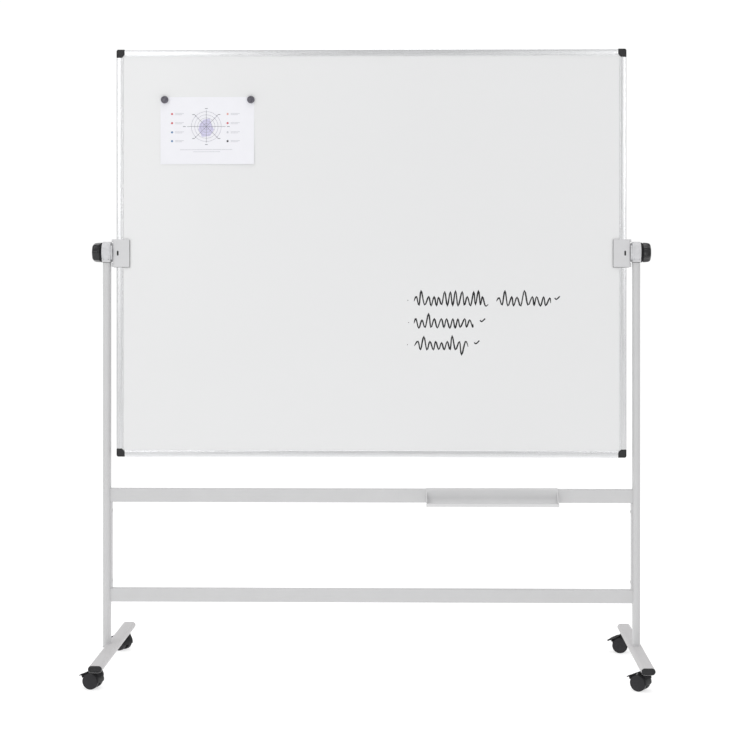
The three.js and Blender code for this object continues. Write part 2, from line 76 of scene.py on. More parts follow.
# -------------------- Where things are, from the frame
POST_LOW, POST_HIGH = mm_box("right_post")
POST_X = mm_centre("right_post")[0]
LEG_LOW, LEG_HIGH = mm_box("right_leg")
LEG_WIDE = LEG_HIGH.x - LEG_LOW.x
LEG_THICK = LEG_HIGH.z - LEG_LOW.z
LEG_Z = mm_centre("right_leg")[2]
PIVOT = mm_centre("right_pivot_bolt")[2]
RAIL_LOW, RAIL_HIGH = mm_box("frame_right")
RAIL_HALF = (RAIL_HIGH.y - RAIL_LOW.y) / 2
BOARD_X = RAIL_HIGH.x
BOARD_TOP = mm_box("frame_top")[1].z
BOARD_BOTTOM = mm_box("frame_bottom")[0].z
BOARD_Z = (BOARD_TOP + BOARD_BOTTOM) / 2
PANEL_Y = mm_box("front_panel")[0].y

# Sizes of detail that the frame's boxes don't give
TUBE_WALL = 1.5
SHEET = 1.5
PIVOT_BORE = 4.6
PAD_GROOVE_X = 765.9
TRAIL = 17.5
WHEEL_R = 23.5
WHEEL_HALF = 21.3


def caster_place(label):
    """Where a caster stands: its stem gives the swivel axis, and its axle's direction the turn."""
    joints = {j["name"]: j for j in frame["record"]["behaviour"]["joints"]}
    ax, ay = joints[f"{label}_wheel_1_spin"]["axis"][:2]
    x, y = mm_centre(f"{label}_stem")[:2]
    return shift(x, y, 0) @ Matrix.Rotation(math.atan2(-ax, ay), 4, "Z")


# -------------------- Outlines: lists of (x, y), anticlockwise
def around(cx, cy, r, angle):
    """The point at an angle, in degrees, on a circle."""
    a = math.radians(angle)
    return cx + r * math.cos(a), cy + r * math.sin(a)


def arc(cx, cy, r, a0, a1, steps):
    """Points of a circle's arc from angle a0 to a1 in degrees, both ends included."""
    return [around(cx, cy, r, a0 + (a1 - a0) * i / steps) for i in range(steps + 1)]


def oval(long, short, steps=16):
    """A shape with straight long sides and round ends, its long way along x."""
    r = short / 2
    s = long / 2 - r
    return arc(s, 0, r, -90, 90, steps) + arc(-s, 0, r, 90, 270, steps)


def hexagon(r):
    return arc(0, 0, r, 0, 300, 5)


def rounded(width, height, r, steps=5):
    """A rectangle with round corners."""
    x = width / 2 - r
    y = height / 2 - r
    corners = [(x, -y, -90), (x, y, 0), (-x, y, 90), (-x, -y, 180)]
    return [p for cx, cy, a in corners for p in arc(cx, cy, r, a, a + 90, steps)]


def swapped(points):
    """The same outline with x and y exchanged, still anticlockwise."""
    return [(y, x) for x, y in reversed(points)]


def in_xy(points, z):
    return [(x, y, z) for x, y in points]


def in_yz(points, x):
    return [(x, y, z) for y, z in points]


def in_xz(points, y):
    return [(x, y, z) for x, z in points]


def moved(points, dx=0.0, dy=0.0):
    return [(x + dx, y + dy) for x, y in points]


# -------------------- Solids: bmesh in millimetres
def loft(rings, ring_closed=False, bm=None):
    """Joins rings of equal length. The ends are capped, or joined to each other in a closed ring."""
    bm = bm or bmesh.new()
    rows = [[bm.verts.new(p) for p in ring] for ring in rings]
    pairs = list(zip(rows, rows[1:]))
    if ring_closed:
        pairs.append((rows[-1], rows[0]))
    for a, b in pairs:
        for i in range(len(a)):
            j = (i + 1) % len(a)
            bm.faces.new((a[i], a[j], b[j], b[i]))
    if not ring_closed:
        bm.faces.new(rows[0][::-1])
        bm.faces.new(rows[-1])
    return bm


def tube(outer, inner, plane, start, end):
    """A hollow bar between two offsets along an axis."""
    return loft([plane(outer, start), plane(outer, end), plane(inner, end), plane(inner, start)], True)


def prism(outline, plane, start, end):
    return loft([plane(outline, start), plane(outline, end)])


def block(low, high):
    (x0, y0, z0), (x1, y1, z1) = low, high
    return prism([(x0, y0), (x1, y0), (x1, y1), (x0, y1)], in_xy, z0, z1)


def lathe(profile, steps=48, axis="Z"):
    """Turns a profile of (radius, height) about an axis. A radius of 0 is a point on the axis."""
    bm = bmesh.new()
    rows = []
    for r, h in profile:
        if r == 0:
            rows.append([bm.verts.new((0, 0, h))])
        else:
            angles = [2 * math.pi * i / steps for i in range(steps)]
            rows.append([bm.verts.new((r * math.cos(a), r * math.sin(a), h)) for a in angles])
    for a, b in zip(rows, rows[1:]):
        for i in range(steps):
            j = (i + 1) % steps
            quad = [a[i % len(a)], a[j % len(a)], b[j % len(b)], b[i % len(b)]]
            corners = list(dict.fromkeys(quad))
            if len(corners) > 2:
                bm.faces.new(corners)
    turns = {
        "X": Matrix.Rotation(math.pi / 2, 4, "Y"),
        "Y": Matrix.Rotation(-math.pi / 2, 4, "X"),
        "Z": Matrix.Identity(4),
    }
    bm.transform(turns[axis])
    return bm


def rod(radius, start, end, axis="Z", at=(0, 0, 0), steps=32):
    bm = lathe([(0, start), (radius, start), (radius, end), (0, end)], steps, axis)
    bm.transform(shift(*at))
    return bm


def bead(path, radius, seed, sides=8):
    """A weld: a rippled round bead along a closed path."""
    rng = random.Random(seed)
    n = len(path)
    rings = []
    for i in range(n):
        here = Vector(path[i])
        along = (Vector(path[(i + 1) % n]) - Vector(path[i - 1])).normalized()
        side = along.cross(Vector((0.31, 0.17, 0.93))).normalized()
        up = side.cross(along)
        r = radius * (1 + 0.16 * math.sin(i * 1.9) + rng.uniform(-0.1, 0.1))
        angles = [2 * math.pi * k / sides for k in range(sides)]
        rings.append([here + r * (math.cos(a) * side + math.sin(a) * up) for a in angles])
    return loft(rings, True)


# -------------------- Pieces
def linked(name, data):
    """A new object in the scene."""
    obj = bpy.data.objects.new(name, data)
    bpy.context.scene.collection.objects.link(obj)
    return obj


def mesh_object(name, bm):
    bmesh.ops.recalc_face_normals(bm, faces=bm.faces)
    mesh = bpy.data.meshes.new(name)
    bm.to_mesh(mesh)
    bm.free()
    return linked(name, mesh)


def carve(obj, tools, operation):
    """Adds a Boolean modifier for each of the other solids. settle() applies them."""
    for bm in tools:
        other = mesh_object(obj.name + "_tool", bm)
        modifier = obj.modifiers.new("carve", "BOOLEAN")
        modifier.operation = operation
        modifier.solver = "EXACT"
        modifier.object = other
    return obj


def settle(obj):
    """Applies the modifiers made so far, and removes the solids that they used."""
    tools = [m.object for m in obj.modifiers if m.type == "BOOLEAN"]
    graph = bpy.context.evaluated_depsgraph_get()
    made = bpy.data.meshes.new_from_object(obj.evaluated_get(graph))
    old = obj.data
    obj.modifiers.clear()
    obj.data = made
    bpy.data.meshes.remove(old)
    for tool in tools:
        discard(tool)
    return obj


def bevelled(obj, width, segments, angle=32):
    modifier = obj.modifiers.new("edges", "BEVEL")
    modifier.width = width
    modifier.segments = segments
    modifier.limit_method = "ANGLE"
    modifier.angle_limit = math.radians(angle)
    return obj


def shaded(obj, angle=34):
    """Smooth shading, with edges sharper than the angle kept crisp and flat faces kept flat."""
    bm = bmesh.new()
    bm.from_mesh(obj.data)
    bmesh.ops.remove_doubles(bm, verts=bm.verts, dist=1e-4)
    for face in bm.faces:
        face.smooth = True
    for edge in bm.edges:
        edge.smooth = len(edge.link_faces) == 2 and edge.calc_face_angle() < math.radians(angle)
    bm.to_mesh(obj.data)
    bm.free()
    weighted = obj.modifiers.new("flats", "WEIGHTED_NORMAL")
    weighted.keep_sharp = True
    return obj


def solid(name, bm, bevel=None, segments=2, union=(), cut=()):
    """One piece's shape, still in millimetres: joined, bevelled, and then cut."""
    obj = mesh_object(name, bm)
    if union:
        settle(carve(obj, union, "UNION"))
    if bevel:
        bevelled(obj, bevel, segments)
    if cut:
        carve(obj, cut, "DIFFERENCE")
    return settle(obj)


def finish_piece(obj, body, material, replaces=(), place=None):
    """Puts a shape in the row frame in metres, gives it its material and body, and hides the CAD parts
    that it replaces.
    """
    shaded(obj)
    if place is not None:
        obj.data.transform(place)
    obj.data.transform(Matrix.Scale(MM, 4))
    obj.data.materials.clear()
    obj.data.materials.append(material)
    if replaces:
        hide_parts(*replaces)
    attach(obj, body)
    return obj


def copy_of(obj, name):
    return linked(name, obj.data.copy())


def discard(obj):
    mesh = obj.data
    bpy.data.objects.remove(obj)
    bpy.data.meshes.remove(mesh)


def taken(obj):
    """The shape of a solid that is only a part of another one. The solid itself is removed."""
    bm = bmesh.new()
    bm.from_mesh(obj.data)
    discard(obj)
    return bm


def half_turn(sign):
    """The right half's shapes serve on the left, turned about Z."""
    return Matrix.Rotation(0 if sign > 0 else math.pi, 4, "Z")


def at_pivot(sign):
    """Where a shape drawn round X = 0, Z = 0 goes to sit on one side's pivot."""
    return half_turn(sign) @ shift(z=PIVOT)


# -------------------- Materials
class Surface:
    """A Principled material, with helpers that add procedural layers in object coordinates."""

    def __init__(self, name, color, roughness, metallic=0.0, **sockets):
        self.material = bpy.data.materials.new(name)
        self.material.use_nodes = True
        self.tree = self.material.node_tree
        self.shader = self.tree.nodes["Principled BSDF"]
        self.shader.inputs["Base Color"].default_value = (*color, 1)
        self.shader.inputs["Roughness"].default_value = roughness
        self.shader.inputs["Metallic"].default_value = metallic
        for socket, value in sockets.items():
            self.shader.inputs[socket.replace("_", " ")].default_value = value
        self.color = color
        self.roughness = roughness
        self.place = self.tree.nodes.new("ShaderNodeTexCoord").outputs["Object"]
        self.normal = None

    def node(self, kind, **inputs):
        made = self.tree.nodes.new(kind)
        for key, value in inputs.items():
            socket = made.inputs[key.replace("_", " ")]
            if isinstance(value, bpy.types.NodeSocket):
                self.tree.links.new(value, socket)
            else:
                socket.default_value = value
        return made

    def noise(self, size, detail=2.0, stretch=(1, 1, 1), distortion=0.0):
        """Noise whose features are about size millimetres across, longer where stretch is above 1."""
        mapping = self.node("ShaderNodeMapping", Vector=self.place)
        mapping.inputs["Scale"].default_value = [1 / s for s in stretch]
        made = self.node(
            "ShaderNodeTexNoise",
            Vector=mapping.outputs["Vector"],
            Scale=1 / (size * MM),
            Detail=detail,
            Distortion=distortion,
        )
        return made.outputs["Fac"]

    def cells(self, size):
        made = self.node("ShaderNodeTexVoronoi", Vector=self.place, Scale=1 / (size * MM))
        return made.outputs["Color"]

    def ranged(self, value, low, high, inside=(0.3, 0.7)):
        made = self.node("ShaderNodeMapRange", Value=value)
        made.inputs["From Min"].default_value, made.inputs["From Max"].default_value = inside
        made.inputs["To Min"].default_value = low
        made.inputs["To Max"].default_value = high
        return made.outputs["Result"]

    def tone(self, value, spread, tint=(1, 1, 1)):
        """Lets the colour wander by a fraction either way, towards a tint where the value is high."""
        mix = self.tree.nodes.new("ShaderNodeMix")
        mix.data_type = "RGBA"
        factor, first, second, result = mix.inputs[0], mix.inputs[6], mix.inputs[7], mix.outputs[2]
        dark = [c * (1 - spread) for c in self.color]
        light = [min(1.0, c * (1 + spread) * t) for c, t in zip(self.color, tint)]
        first.default_value = (*dark, 1)
        second.default_value = (*light, 1)
        self.tree.links.new(self.ranged(value, 0, 1), factor)
        self.tree.links.new(result, self.shader.inputs["Base Color"])
        return self

    def gloss(self, value, spread):
        low = max(0.02, self.roughness - spread)
        made = self.ranged(value, low, self.roughness + spread)
        self.tree.links.new(made, self.shader.inputs["Roughness"])
        return self

    def bump(self, value, depth):
        """Relief of about depth millimetres, on top of any relief so far."""
        made = self.node("ShaderNodeBump", Height=value, Strength=1.0, Distance=depth * MM)
        if self.normal:
            self.tree.links.new(self.normal, made.inputs["Normal"])
        self.normal = made.outputs["Normal"]
        self.tree.links.new(self.normal, self.shader.inputs["Normal"])
        return self


def powder_coat(name, color):
    """Satin powder coat: a fine orange-peel relief, and slow shifts of tone and gloss."""
    made = Surface(name, color, 0.5, Specular_IOR_Level=0.2)
    made.tone(made.noise(60, 3), 0.014)
    made.gloss(made.noise(7, 4), 0.05)
    made.bump(made.noise(1.6, 2), 0.012).bump(made.noise(0.35, 1), 0.004)
    return made.material


def dry_erase(name, color):
    """Glossy lacquer on steel: almost flat, with the faint haze that wiping leaves."""
    made = Surface(name, color, 0.3, Specular_IOR_Level=0.3, Coat_Weight=0.15, Coat_Roughness=0.12)
    made.tone(made.noise(240, 3, (2.2, 1, 1)), 0.004)
    made.gloss(made.noise(55, 5, (4, 1, 1), 0.6), 0.02)
    made.bump(made.noise(9, 2), 0.008)
    return made.material


def anodised(name, color, along):
    """Satin aluminium extrusion: fine drawing lines along its length, and slow bands of tone."""
    stretch = [60 if axis == along else 1 for axis in "XYZ"]
    made = Surface(name, color, 0.27, 1.0)
    made.tone(made.noise(0.9, 2, stretch), 0.05)
    made.gloss(made.noise(2.5, 3, stretch), 0.05)
    made.bump(made.noise(0.25, 2, stretch), 0.005)
    return made.material


def moulded(name, color, roughness, grain, depth, **sockets):
    """Moulded plastic with a fine spark-eroded texture and slightly worn gloss."""
    made = Surface(name, color, roughness, **sockets)
    made.tone(made.noise(14, 4), 0.07)
    made.gloss(made.noise(5, 4), 0.07)
    made.bump(made.noise(grain, 3), depth)
    return made.material


def zinc(name, color):
    """Bright plating, with a faint spangle."""
    made = Surface(name, color, 0.34, 1.0)
    made.tone(made.cells(1.8), 0.09, (1.0, 1.0, 0.98))
    made.gloss(made.noise(2, 3), 0.08)
    made.bump(made.noise(0.4, 2), 0.006)
    return made.material


def paper_stock(name, color):
    """Matt paper with a fine fibre relief."""
    made = Surface(name, color, 0.82)
    made.tone(made.noise(30, 3), 0.008)
    made.gloss(made.noise(3, 3), 0.05)
    made.bump(made.noise(0.5, 4), 0.012)
    return made.material


def ink(name, color, roughness=0.6):
    """Marker or printer's ink: uneven where the pen left more or less of it."""
    made = Surface(name, color, roughness)
    made.tone(made.noise(2.2, 3), 0.12)
    made.gloss(made.noise(1.5, 2), 0.1)
    return made.material


STAND = powder_coat("stand_powder_coat", (0.615, 0.615, 0.62))
BRACKET = powder_coat("bracket_powder_coat", (0.655, 0.655, 0.665))
LEGS = powder_coat("leg_powder_coat", (0.6, 0.59, 0.595))
TRAY = powder_coat("tray_powder_coat", (0.7, 0.7, 0.705))
FACE = dry_erase("dry_erase_lacquer", (0.80, 0.803, 0.807))
ALU_X = anodised("anodised_rail_across", (0.76, 0.765, 0.775), "X")
ALU_Z = anodised("anodised_rail_upright", (0.76, 0.765, 0.775), "Z")
HONEYCOMB = moulded("honeycomb_paper", (0.42, 0.33, 0.21), 0.9, 2.0, 0.2)
BLACK = moulded(
    "black_moulded_plastic", (0.019, 0.019, 0.0205), 0.44, 0.6, 0.03, Specular_IOR_Level=0.4
)
KNOB = moulded("knob_plastic", (0.009, 0.009, 0.0105), 0.25, 0.9, 0.02, Specular_IOR_Level=0.5)
PEDAL = moulded("pedal_plastic", (0.013, 0.013, 0.0145), 0.62, 0.6, 0.03, Specular_IOR_Level=0.08)
HOOD = moulded("caster_hood_plastic", (0.013, 0.013, 0.0145), 0.5, 0.6, 0.03, Specular_IOR_Level=0.22)
WHEEL = moulded("wheel_nylon", (0.016, 0.0155, 0.018), 0.5, 0.8, 0.02, Specular_IOR_Level=0.35)
GREY = moulded("grey_moulded_plastic", (0.63, 0.63, 0.645), 0.4, 0.6, 0.015)
# Matt black rubber used as painted shade: the strips behind the brackets, the rings under the housing
# collars, and part of the knobs' dark base rings.
SHADE_RUBBER = moulded("black_rubber_painted_shade", (0.014, 0.014, 0.015), 0.85, 0.4, 0.05, Specular_IOR_Level=0.25)
GREY_RUBBER = moulded("grey_rubber", (0.36, 0.36, 0.37), 0.8, 0.4, 0.05)
BOLT = zinc("zinc_plated_steel", (0.62, 0.62, 0.63))
MAGNET = moulded("magnet_cap_plastic", (0.09, 0.084, 0.108), 0.3, 1.2, 0.008, Coat_Weight=0.4)
PAPER = paper_stock("printed_paper", (0.865, 0.865, 0.905))
MARKER = ink("marker_ink", (0.006, 0.006, 0.008), 0.6)


# -------------------- Stand
def post_foot(x, leg_x):
    """Height of the leg's surface under a point of the post's wall."""
    r = LEG_THICK / 2
    past = max(0.0, abs(x - leg_x) - (LEG_WIDE / 2 - r))
    return LEG_Z + math.sqrt(max(0.0, r * r - past * past)) + 0.2


def post_ring(long, short):
    """A flat oval round the right post's axis, its narrow side to the front."""
    return moved(swapped(oval(long, short)), POST_X)


def make_post(side, sign):
    """A flat-oval tube, a little wider than its CAD solid, cut to the leg's round top and welded on."""
    long = POST_HIGH.y - POST_LOW.y
    short = POST_HIGH.x - POST_LOW.x + 1.2
    outer = post_ring(long, short)
    inner = post_ring(long - 2 * TUBE_WALL, short - 2 * TUBE_WALL)
    leg_x = abs(mm_centre(f"{side}_leg")[0])
    foot_outer = [(x, y, post_foot(x, leg_x)) for x, y in outer]
    foot_inner = [(x, y, post_foot(x, leg_x)) for x, y in inner]
    top = POST_HIGH.z
    bm = loft([foot_outer, in_xy(outer, top), in_xy(inner, top), foot_inner], True)
    post = solid(f"{side}_post_tube", bm)
    finish_piece(post, "stand", STAND, [f"{side}_post"], half_turn(sign))
    weld = mesh_object(f"{side}_post_weld", bead(foot_outer, 1.5, 3 + sign))
    finish_piece(weld, "stand", STAND, (), half_turn(sign))


def make_leg(side):
    outer = oval(LEG_WIDE, LEG_THICK)
    inner = oval(LEG_WIDE - 2 * TUBE_WALL, LEG_THICK - 2 * TUBE_WALL)
    bm = tube(outer, inner, in_xz, LEG_LOW.y, LEG_HIGH.y)
    bm.transform(shift(mm_centre(f"{side}_leg")[0], 0, LEG_Z))
    leg = solid(f"{side}_leg_tube", bm)
    finish_piece(leg, "stand", LEGS, [f"{side}_leg"])


def make_leg_cap(side, end, way):
    """A plug with a rounded rim, and a recess round a long raised bar with sloping sides."""
    end_y = mm_box("rear_right_leg_cap")[1].y
    long, short = 40, 20
    steps = [
        (-17.0, 1.9), (-4.0, 1.9), (-3.7, 1.4), (-3.7, 0.3), (-2.9, 0.5), (-1.6, 1.1), (-0.6, 2.0),
        (0.0, 3.1), (0.0, 4.0), (-0.5, 4.5), (-1.5, 4.7), (-1.7, 5.1),
    ]
    rings = [in_xz(oval(long - 2 * inset, short - 2 * inset), end_y + y) for y, inset in steps]
    bar = [(32, 9, 4.2), (31, 8, 3.6), (27, 4, 1.2)]
    boss = [in_xz(oval(wide, high), end_y - deep) for wide, high, deep in bar]
    cap = solid(f"{end}_{side}_leg_plug", loft(rings), union=[loft(boss)])
    place = shift(mm_centre(f"{side}_leg")[0], 0, LEG_Z) @ half_turn(way)
    finish_piece(cap, "stand", BLACK, [f"{end}_{side}_leg_cap"], place)


def make_crossbar(level):
    """A rectangular tube with a weld round each end."""
    low, high = mm_box(f"{level}_crossbar")
    middle = (low.z + high.z) / 2
    walls = 2 * TUBE_WALL
    outer = moved(rounded(high.y - low.y, high.z - low.z, 2.6), 0, middle)
    inner = moved(rounded(high.y - low.y - walls, high.z - low.z - walls, 1.2), 0, middle)
    bar = solid(f"{level}_bar_tube", tube(outer, inner, in_yz, low.x, high.x))
    finish_piece(bar, "stand", STAND, [f"{level}_crossbar"])
    for side, sign in SIDES.items():
        dense = in_yz(subdivided(outer, 3.0), sign * (high.x + 0.2))
        weld = mesh_object(f"{level}_{side}_bar_weld", bead(dense, 0.8, 20 + sign))
        finish_piece(weld, "stand", STAND)


def subdivided(points, step):
    """The same outline with no gap between points much longer than step."""
    made = []
    for i, (x0, y0) in enumerate(points):
        x1, y1 = points[(i + 1) % len(points)]
        parts = max(1, round(math.hypot(x1 - x0, y1 - y0) / step))
        made += [(x0 + (x1 - x0) * k / parts, y0 + (y1 - y0) * k / parts) for k in range(parts)]
    return made


def make_end_plate(side, sign):
    """The flat bar on the ends of the crossbars, and the two button-head bolts through it."""
    low, high = mm_box("right_end_plate")
    plate = solid(f"{side}_gusset_plate", block(low, high), bevel=0.8, segments=3)
    place = half_turn(sign)
    finish_piece(plate, "stand", STAND, [f"{side}_end_plate"], place)
    profile = [
        (0, -2.1), (3.6, -2.1), (4.6, -1.6), (5.0, -0.8), (5.0, 0.0), (2.7, 0.0), (2.7, 10.5), (0, 10.5),
    ]
    for level in ("upper", "lower"):
        socket = prism(hexagon(2.3), in_yz, -3, -1.0)
        bolt = solid(f"{level}_{side}_button_bolt", lathe(profile, 40, "X"), cut=[socket])
        at = place @ shift(low.x - 0.1, 0, mm_centre(f"{level}_right_plate_bolt")[2])
        finish_piece(bolt, "stand", BOLT, [f"{level}_{side}_plate_bolt"], at)


def make_housing(side, sign):
    """The round head with its straight collar and two seams, its boss, and a dark ring round the post
    under the collar as painted shadow.
    """
    low, high = mm_box("right_pivot_housing")
    r = (high.z - low.z) / 2
    rise = 1.8  # the round head's middle above the pivot
    reach = 23.0  # half the collar's width
    drop = math.degrees(math.acos(reach / r))
    outline = arc(0, rise, r, -drop, 180 + drop, 56) + [(-reach, rise - r), (reach, rise - r)]
    shell = high.x - 24.4  # where the shell starts and the boss ends
    bore = (PIVOT_BORE, low.x - 1, high.x + 1, "X")
    pocket = prism(post_ring(40.8, 21.8), in_xy, -3 * r, POST_HIGH.z + 0.3 - PIVOT)
    cuts = [pocket, housing_groove(low.x, r), rod(*bore)]
    near, far = r - 0.5, r + 3
    for x in (shell + 4.5, high.x - 4.5):
        start, end = x - 0.5, x + 0.5
        seam = lathe([(near, start), (far, start), (far, end), (near, end), (near, start)], 56, "X")
        seam.transform(shift(z=rise))
        cuts.append(seam)
    housing = solid(f"{side}_housing_shell", prism(outline, in_yz, shell, high.x), 0.9, 3, cut=cuts)
    boss = lathe([(0, low.x), (22.6, low.x), (24, low.x + 1.4), (24, shell + 2), (0, shell + 2)], 56, "X")
    face = solid(f"{side}_housing_boss", boss, cut=[housing_groove(low.x, r), rod(*bore)])
    place = at_pivot(sign)
    for piece in (housing, face):
        finish_piece(piece, "stand", GREY, [f"{side}_pivot_housing"], place)
    # Painted shadow: a dark ring round the post just under the collar, where the collar's shadow falls on
    # the post.
    foot = PIVOT + rise - r
    shape = tube(post_ring(43.6, 23.2), post_ring(40.6, 21.4), in_xy, foot - 1.1, foot + 0.4)
    shadow_ring = solid(f"{side}_collar_shadow_ring", shape)
    finish_piece(shadow_ring, "stand", SHADE_RUBBER, (), half_turn(sign))


def housing_groove(start, r):
    """The slot that the friction pad sits in."""
    return block((start - 1, -12.3, -2 * r), (PAD_GROOVE_X, 12.3, 2 * r))


def make_friction_pad(side, sign):
    """A grey rubber pad with rounded corners and serrated edges."""
    low, high = mm_box("right_friction_pad")
    half_y = high.y
    half_z = (high.z - low.z) / 2
    r = 8.0
    pitch, tooth = 1.6, 0.9
    count = int((half_z - r) * 2 / pitch) - 1
    teeth = [(half_y - tooth * (k % 2), r - half_z + (k + 1) * pitch) for k in range(count)]
    edge = arc(half_y - r, r - half_z, r, -90, 0, 6) + teeth + arc(half_y - r, half_z - r, r, 0, 90, 6)
    outline = edge + [(-y, -z) for y, z in edge]
    pad = solid(f"{side}_rubber_pad", prism(outline, in_yz, low.x, high.x), bevel=0.3)
    place = half_turn(sign) @ shift(z=(low.z + high.z) / 2)
    finish_piece(pad, "stand", GREY_RUBBER, [f"{side}_friction_pad"], place)


# -------------------- Board
def rail_profile():
    """Half section of the extruded frame: (in from the outer edge, out from the middle plane)."""
    v = RAIL_HALF
    r = 2.8
    front = [(20.0, v - 1.7), (20.0, v - 1.2), (19.4, v - 0.7), (18.4, v - 0.6), (17.7, v - 0.75)]
    front += [(17.0, v - 0.5), (15.6, v - 0.3), (12.0, v - 0.1), (9.0, v), (5.0, v - 0.05)]
    front += [(r - x, y) for x, y in arc(0, v - 0.2 - r, r, 80, 0, 8)]
    return front


def rail_section():
    """The whole C-shaped section, outer side first, as (u, v) with u counted in from the edge."""
    front = rail_profile()
    back = [(u, -v) for u, v in reversed(front)]
    inside = RAIL_HALF - 1.7
    channel = [(20.0, -inside), (3.2, -inside), (3.2, inside)]
    return front + back + channel


def make_rails():
    section = rail_section()
    specs = [
        ("frame_right", ALU_Z, 0, (BOARD_X, BOARD_Z)),
        ("frame_top", ALU_X, -90, (0, BOARD_TOP)),
        ("frame_left", ALU_Z, 180, (-BOARD_X, BOARD_Z)),
        ("frame_bottom", ALU_X, 90, (0, BOARD_BOTTOM)),
    ]
    for node, material, turn, (x, z) in specs:
        low, high = mm_box(node)
        half = max(high.x - low.x, high.z - low.z) / 2
        bm = prism([(-u, v) for u, v in section], in_xy, -half, half)
        rail = solid(f"{node}_extrusion", bm)
        place = shift(x, 0, z) @ Matrix.Rotation(math.radians(turn), 4, "Y")
        finish_piece(rail, "board", material, [node], place)


def corner_outline(leg=24.0, chamfer=8.0, radius=6.0):
    """A square with its round outer corner at the origin, and a stepped chamfer across its inner one."""
    far = -leg
    step = far + 2.2
    shallow = far + chamfer - 0.6
    deep = far + chamfer - 2.6
    inner = [
        (far, far + chamfer), (step, shallow), (step, deep),
        (deep, step), (shallow, step), (far + chamfer, far),
    ]
    return inner + [(0, far)] + arc(-radius, -radius, radius, 0, 90, 10) + [(far, 0)]


def make_corner_caps():
    """Moulded caps with a stepped inner corner and a shallow panel in each face."""
    half = 11.4
    deep = 0.7
    panel = moved(corner_outline(19.5, 7.0, 4.5), -2.3, -2.3)
    body = prism(corner_outline(), in_xz, -half, half)
    cuts = [prism(panel, in_xz, way * half - deep, way * half + deep) for way in (FRONT, BACK)]
    cuts.append(block((-25, -9.3, -25), (-3.5, 9.3, -3.5)))
    model = solid("corner_cap_model", body, bevel=1.1, segments=3, cut=cuts)
    corners = [
        ("top_right", 1, 1, 0),
        ("top_left", -1, 1, -90),
        ("bottom_left", -1, -1, 180),
        ("bottom_right", 1, -1, 90),
    ]
    for name, sx, sz, turn in corners:
        cap = copy_of(model, f"{name}_cap_moulding")
        corner = shift(sx * BOARD_X, 0, BOARD_Z + sz * (BOARD_TOP - BOARD_Z))
        place = corner @ Matrix.Rotation(math.radians(turn), 4, "Y")
        finish_piece(cap, "board", BLACK, [f"{name}_corner_cap"], place)
    discard(model)


def corner_waste(x, z, r, way):
    """What lies outside a rounded corner of a sheet's left edge: way is 1 at its foot, -1 at its head."""
    turn = arc(x + r, z + way * r, r, 180, 180 + way * 90, 8)
    return turn + [(x + r, z - way), (x - 1, z - way), (x - 1, z + way * r)]


def make_bracket(side, sign):
    """A folded sheet round the board's edge, with a slot in each flange, two lugs, and a dark strip
    behind each flange that shows past its inner and lower edges as painted shadow on the board.
    """
    low, high = mm_box("right_pivot_bracket")
    edge = low.x + 1.4
    outer = high.y
    r = 4.0
    bend = high.x - r
    section = [(edge, -outer)] + arc(bend, -outer + r, r, -90, 0, 10) + arc(bend, outer - r, r, 0, 90, 10)
    section += [(edge, outer), (edge, outer - SHEET)]
    section += arc(bend, outer - r, r - SHEET, 90, 0, 10) + arc(bend, -outer + r, r - SHEET, 0, -90, 10)
    section += [(edge, -outer + SHEET)]
    slot = moved(swapped(oval(14.5, 5)), 746, BOARD_Z)
    foot_corner = corner_waste(edge, low.z, 1.5, 1)
    head_corner = corner_waste(edge, high.z, 1.5, -1)
    cuts = [prism(shape, in_xz, -30, 30) for shape in (slot, foot_corner, head_corner)]
    cuts.insert(1, rod(PIVOT_BORE, high.x - 6, high.x + 2, "X", (0, 0, PIVOT)))
    lugs = []
    for foot, head in ((low.z + 0.4, low.z + 13), (high.z - 8.5, high.z - 0.4)):
        plan = rounded(20, head - foot, 2.4)
        lugs.append(prism(moved(plan, 0, (foot + head) / 2), in_yz, high.x - 1, high.x + 3.4))
    bm = prism(section, in_xy, low.z, high.z)
    bracket = solid(f"{side}_bracket_sheet", bm, 0.35, 2, union=lugs, cut=cuts)
    finish_piece(bracket, "board", BRACKET, [f"{side}_pivot_bracket"], half_turn(sign))
    # Painted shadow: a thin dark strip under each flange, reaching past its inner and lower edges, where
    # the flange's shadow falls on the board.
    for end, way in ENDS.items():
        near, far = sorted((way * (outer - SHEET - 0.05), way * (outer - SHEET + 0.5)))
        strip = rounded(bend - edge + 0.9, high.z - low.z - 1, 1.0)
        shape = prism(moved(strip, (bend + edge - 0.9) / 2, BOARD_Z - 1.4), in_xz, near, far)
        shadow_strip = solid(f"{side}_bracket_liner_{end}", shape)
        finish_piece(shadow_strip, "board", SHADE_RUBBER, (), half_turn(sign))


def make_pivot_bolt(side, sign):
    """A domed head with a hexagon socket, and a thread on the end that the knob turns on."""
    low, high = mm_box("right_pivot_bolt")
    seat = low.x + 5.6
    thread_start = 792.5
    pitch = 1.25
    profile = [(0, low.x), (6.4, low.x), (7.9, low.x + 0.8), (8.5, low.x + 2.2), (8.5, seat), (4, seat)]
    profile += [(4, thread_start)]
    for i in range(int((high.x - 1.5 - thread_start) / pitch)):
        x = thread_start + i * pitch
        profile += [(4.0, x + 0.35), (3.35, x + 0.9)]
    profile += [(3.6, high.x - 1.0), (3.0, high.x), (0, high.x)]
    socket = prism(hexagon(2.9), in_yz, low.x - 1, low.x + 2.6)
    bolt = solid(f"{side}_pivot_screw", lathe(profile, 32, "X"), cut=[socket])
    place = at_pivot(sign)
    finish_piece(bolt, "board", BOLT, [f"{side}_pivot_bolt"], place)


